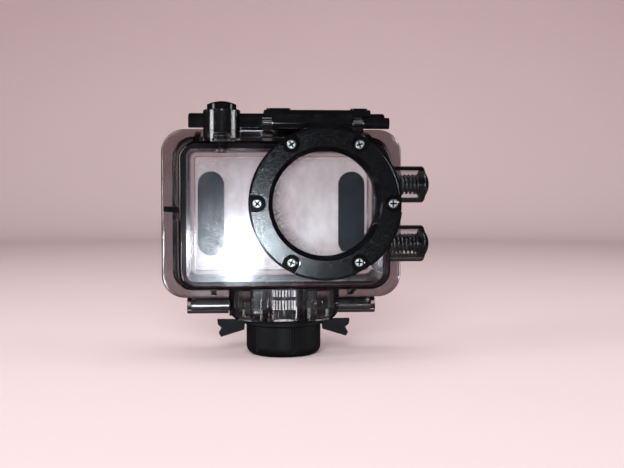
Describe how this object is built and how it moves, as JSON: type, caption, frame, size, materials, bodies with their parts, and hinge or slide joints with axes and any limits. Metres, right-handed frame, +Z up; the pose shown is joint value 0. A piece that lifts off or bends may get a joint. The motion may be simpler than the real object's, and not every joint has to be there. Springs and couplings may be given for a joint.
{
  "type": "waterproof camera housing",
  "caption": "Clear waterproof housing of an action camera, with a round lens port, push buttons, hinged back door, top latch and a tripod adapter.",
  "frame": {"origin": "mouth of the tripod thread, in the middle of the adapter's flat underside", "axes": "+Z up through the tripod thread and the case, -Y out of the lens port, +X to the side with two buttons"},
  "size_m": [0.0874, 0.0453, 0.081],
  "materials": {
    "clear_shell": "clear polycarbonate, polished, fine scratches",
    "port_glass": "flat clear glass",
    "black_ring": "fine-grained satin black moulding",
    "latch_black": "glossy black moulding",
    "cap_black": "glossy black button cap",
    "knob_black": "satin black moulding",
    "screw_steel": "stainless pan-head screws",
    "pin_steel": "ground stainless pin",
    "spring_steel": "bright spring wire",
    "insert_nickel": "nickel-plated brass",
    "gasket": "black silicone",
    "seal": "black rubber",
    "foam": "dark blue-grey foam"
  },
  "bodies": {
    "case": {"front_shell": "clear_shell", "lens_glass": "port_glass", "lens_gasket": "seal", "lens_ring": "black_ring", "lens_ring_screws": "screw_steel", "hinge_pin": "pin_steel", "latch_pin": "pin_steel", "tripod_insert": "insert_nickel", "shutter_spring": "spring_steel", "shutter_seal": "seal", "upper_spring": "spring_steel", "upper_seal": "seal", "lower_spring": "spring_steel", "lower_seal": "seal"},
    "door": {"rear_door": "clear_shell", "door_gasket": "gasket", "door_pad_left": "foam", "door_pad_right": "foam", "latch_keeper": "latch_black"},
    "latch": {"latch_bar": "latch_black", "latch_lever": "latch_black"},
    "shutter": {"shutter_button": "cap_black", "shutter_clip": "spring_steel"},
    "upper_key": {"upper_button": "cap_black", "upper_clip": "spring_steel"},
    "lower_key": {"lower_button": "cap_black", "lower_clip": "spring_steel"},
    "nut": {"lock_nut": "knob_black"},
    "adapter": {"adapter_barrel": "knob_black", "adapter_stud": "pin_steel"}
  },
  "joints": [
    {"name": "latch_lift", "type": "hinge", "parent": "case", "child": "latch", "pos_m": [0, -0.005, 0.0741], "axis": [1, 0, 0], "range_deg": [0, 110]},
    {"name": "door_swing", "type": "hinge", "parent": "case", "child": "door", "pos_m": [0, 0.0132, 0.0141], "axis": [-1, 0, 0], "range_deg": [0, 90]},
    {"name": "shutter_press", "type": "slide", "parent": "case", "child": "shutter", "axis": [0, 0, -1], "range_m": [0, 0.0015], "stiffness_N_per_m": 400, "springref_m": -0.0015, "deforming": ["shutter_spring"]},
    {"name": "upper_press", "type": "slide", "parent": "case", "child": "upper_key", "axis": [-1, 0, 0], "range_m": [0, 0.0015], "stiffness_N_per_m": 400, "springref_m": -0.0015, "deforming": ["upper_spring"]},
    {"name": "lower_press", "type": "slide", "parent": "case", "child": "lower_key", "axis": [-1, 0, 0], "range_m": [0, 0.0015], "stiffness_N_per_m": 400, "springref_m": -0.0015, "deforming": ["lower_spring"]},
    {"name": "nut_turn", "type": "hinge", "parent": "case", "child": "nut", "pos_m": [0, 0, 0.0105], "axis": [0, 0, 1], "continuous": true},
    {"name": "adapter_turn", "type": "hinge", "parent": "case", "child": "adapter", "pos_m": [0, 0, 0.005], "axis": [0, 0, 1], "continuous": true}
  ],
  "couplings": [
    {"joint": "door_swing", "follows": "latch_lift", "ratio": 0.81818}
  ]
}
